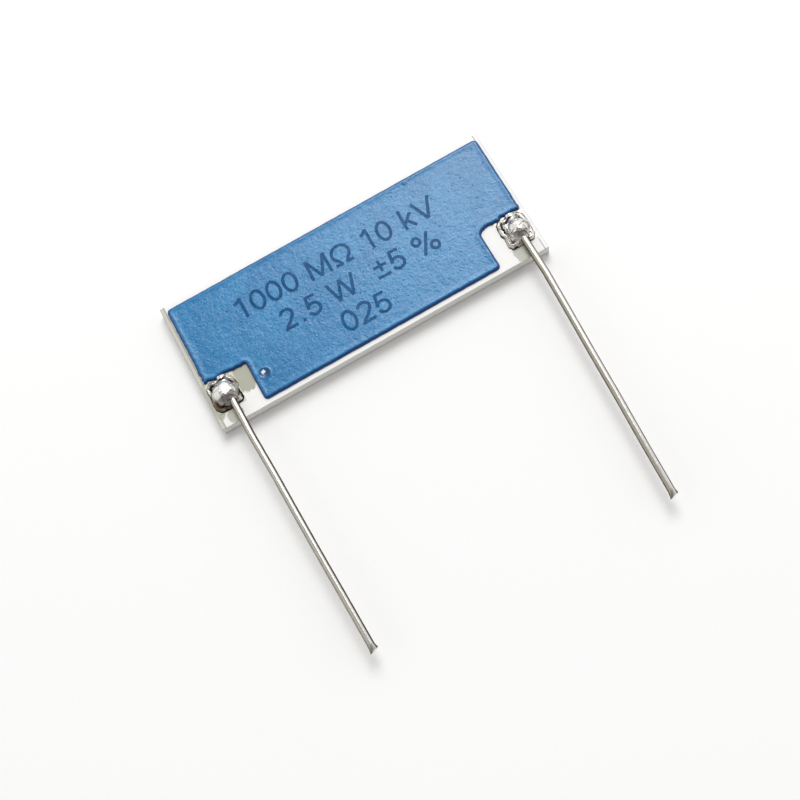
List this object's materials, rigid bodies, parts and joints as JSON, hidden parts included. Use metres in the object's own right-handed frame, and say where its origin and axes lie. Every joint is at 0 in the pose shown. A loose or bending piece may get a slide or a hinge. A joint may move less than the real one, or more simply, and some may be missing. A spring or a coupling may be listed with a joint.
{
  "type": "high-voltage resistor",
  "caption": "Flat thick-film resistor: a white ceramic plate under a blue protective coat, with wire leads soldered to pads at two corners.",
  "frame": {"origin": "centre of the ceramic plate's back face", "axes": "+Z out of the coated face, +X along the plate, -Y the way the leads leave"},
  "size_m": [0.025, 0.0287, 0.0019],
  "materials": {
    "alumina": "matte fired white ceramic",
    "resistor_film": "fired black thick film",
    "pad_metal": "fired silver-palladium film",
    "blue_coat": "semi-gloss blue resin coat",
    "solder": "lumpy bright solder",
    "tinned_wire": "tinned copper wire"
  },
  "bodies": {
    "root": {"ceramic_substrate": "alumina", "resistor_track": "resistor_film", "termination_left": "pad_metal", "termination_right": "pad_metal", "protective_coating": "blue_coat", "solder_joint_left": "solder", "solder_joint_right": "solder", "lead_left": "tinned_wire", "lead_right": "tinned_wire"}
  },
  "joints": []
}
